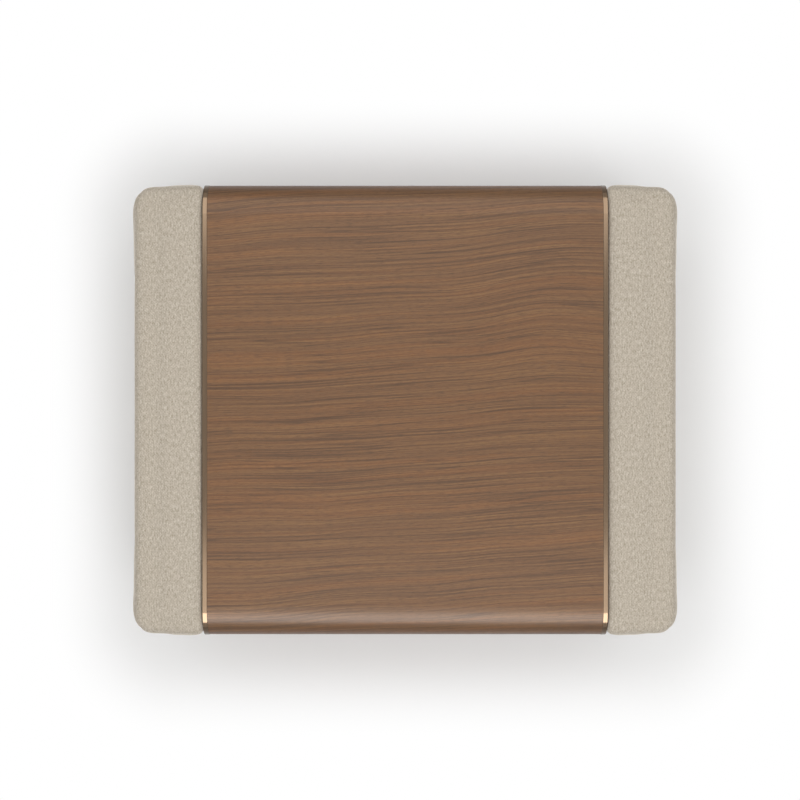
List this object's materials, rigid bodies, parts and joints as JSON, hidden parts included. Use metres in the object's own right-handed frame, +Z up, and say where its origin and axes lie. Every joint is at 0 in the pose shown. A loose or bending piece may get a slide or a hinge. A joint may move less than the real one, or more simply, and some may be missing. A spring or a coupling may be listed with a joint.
{
  "type": "backless bench",
  "caption": "Low backless lounge bench: a walnut wrap with rounded front and back edges and slim metal trims between two upholstered end bolsters, on a recessed steel base.",
  "frame": {"origin": "on the floor, under the middle of the bench", "axes": "+X along the bench to its right-hand bolster, +Y to the back, +Z up"},
  "size_m": [0.76, 0.631, 0.4305],
  "materials": {
    "walnut_veneered_ply": "satin",
    "bronze_anodised_aluminium": "satin",
    "woven_upholstery": "matte",
    "polyester_wadding": "matte",
    "upholstery_foam": "matte",
    "birch_ply": "matte",
    "solid_birch": "matte",
    "powder_coated_steel": "satin",
    "zinc_plated_steel": "satin",
    "black_plastic": "matte"
  },
  "bodies": {
    "bench": {"base_board": "birch_ply", "base_front_rail": "powder_coated_steel", "base_left_cross_rail": "powder_coated_steel", "base_left_rail": "powder_coated_steel", "base_rear_rail": "powder_coated_steel", "base_right_cross_rail": "powder_coated_steel", "base_right_rail": "powder_coated_steel", "base_screws": "zinc_plated_steel", "bolster_bolts": "zinc_plated_steel", "bolster_tee_nuts": "zinc_plated_steel", "bolster_washers": "zinc_plated_steel", "carcass_screws": "zinc_plated_steel", "corner_blocks": "solid_birch", "edge_trim_screws": "zinc_plated_steel", "front_stretcher": "birch_ply", "glide_inserts": "zinc_plated_steel", "left_bolster_board": "birch_ply", "left_bolster_cover": "woven_upholstery", "left_bolster_foam": "upholstery_foam", "left_bolster_wadding": "polyester_wadding", "left_edge_trim": "bronze_anodised_aluminium", "left_side_panel": "birch_ply", "left_spacer_board": "birch_ply", "rail_end_caps": "black_plastic", "rear_stretcher": "birch_ply", "right_bolster_board": "birch_ply", "right_bolster_cover": "woven_upholstery", "right_bolster_foam": "upholstery_foam", "right_bolster_wadding": "polyester_wadding", "right_edge_trim": "bronze_anodised_aluminium", "right_side_panel": "birch_ply", "right_spacer_board": "birch_ply", "seat_bearer_front": "solid_birch", "seat_bearer_middle": "solid_birch", "seat_bearer_rear": "solid_birch", "walnut_wrap": "walnut_veneered_ply", "wrap_screws": "zinc_plated_steel"},
    "pad_front_left": {"glide_pad_front_left": "black_plastic"},
    "stem_front_left": {"glide_stem_front_left": "zinc_plated_steel"},
    "pad_front_right": {"glide_pad_front_right": "black_plastic"},
    "stem_front_right": {"glide_stem_front_right": "zinc_plated_steel"},
    "pad_rear_left": {"glide_pad_rear_left": "black_plastic"},
    "stem_rear_left": {"glide_stem_rear_left": "zinc_plated_steel"},
    "pad_rear_right": {"glide_pad_rear_right": "black_plastic"},
    "stem_rear_right": {"glide_stem_rear_right": "zinc_plated_steel"}
  },
  "joints": [
    {"name": "front_left_glide_lower", "type": "slide", "parent": "bench", "child": "pad_front_left", "axis": [0, 0, -1], "range_m": [0, 0.012]},
    {"name": "front_left_glide_turn", "type": "hinge", "parent": "pad_front_left", "child": "stem_front_left", "pos_m": [-0.3, -0.26, 0], "axis": [0, 0, -1], "range_deg": [0, 3456.01]},
    {"name": "front_right_glide_lower", "type": "slide", "parent": "bench", "child": "pad_front_right", "axis": [0, 0, -1], "range_m": [0, 0.012]},
    {"name": "front_right_glide_turn", "type": "hinge", "parent": "pad_front_right", "child": "stem_front_right", "pos_m": [0.3, -0.26, 0], "axis": [0, 0, -1], "range_deg": [0, 3456.01]},
    {"name": "rear_left_glide_lower", "type": "slide", "parent": "bench", "child": "pad_rear_left", "axis": [0, 0, -1], "range_m": [0, 0.012]},
    {"name": "rear_left_glide_turn", "type": "hinge", "parent": "pad_rear_left", "child": "stem_rear_left", "pos_m": [-0.3, 0.26, 0], "axis": [0, 0, -1], "range_deg": [0, 3456.01]},
    {"name": "rear_right_glide_lower", "type": "slide", "parent": "bench", "child": "pad_rear_right", "axis": [0, 0, -1], "range_m": [0, 0.012]},
    {"name": "rear_right_glide_turn", "type": "hinge", "parent": "pad_rear_right", "child": "stem_rear_right", "pos_m": [0.3, 0.26, 0], "axis": [0, 0, -1], "range_deg": [0, 3456.01]}
  ],
  "couplings": [
    {"joint": "front_left_glide_turn", "follows": "front_left_glide_lower", "rad_per_m": 5026.5},
    {"joint": "front_right_glide_turn", "follows": "front_right_glide_lower", "rad_per_m": 5026.5},
    {"joint": "rear_left_glide_turn", "follows": "rear_left_glide_lower", "rad_per_m": 5026.5},
    {"joint": "rear_right_glide_turn", "follows": "rear_right_glide_lower", "rad_per_m": 5026.5}
  ]
}
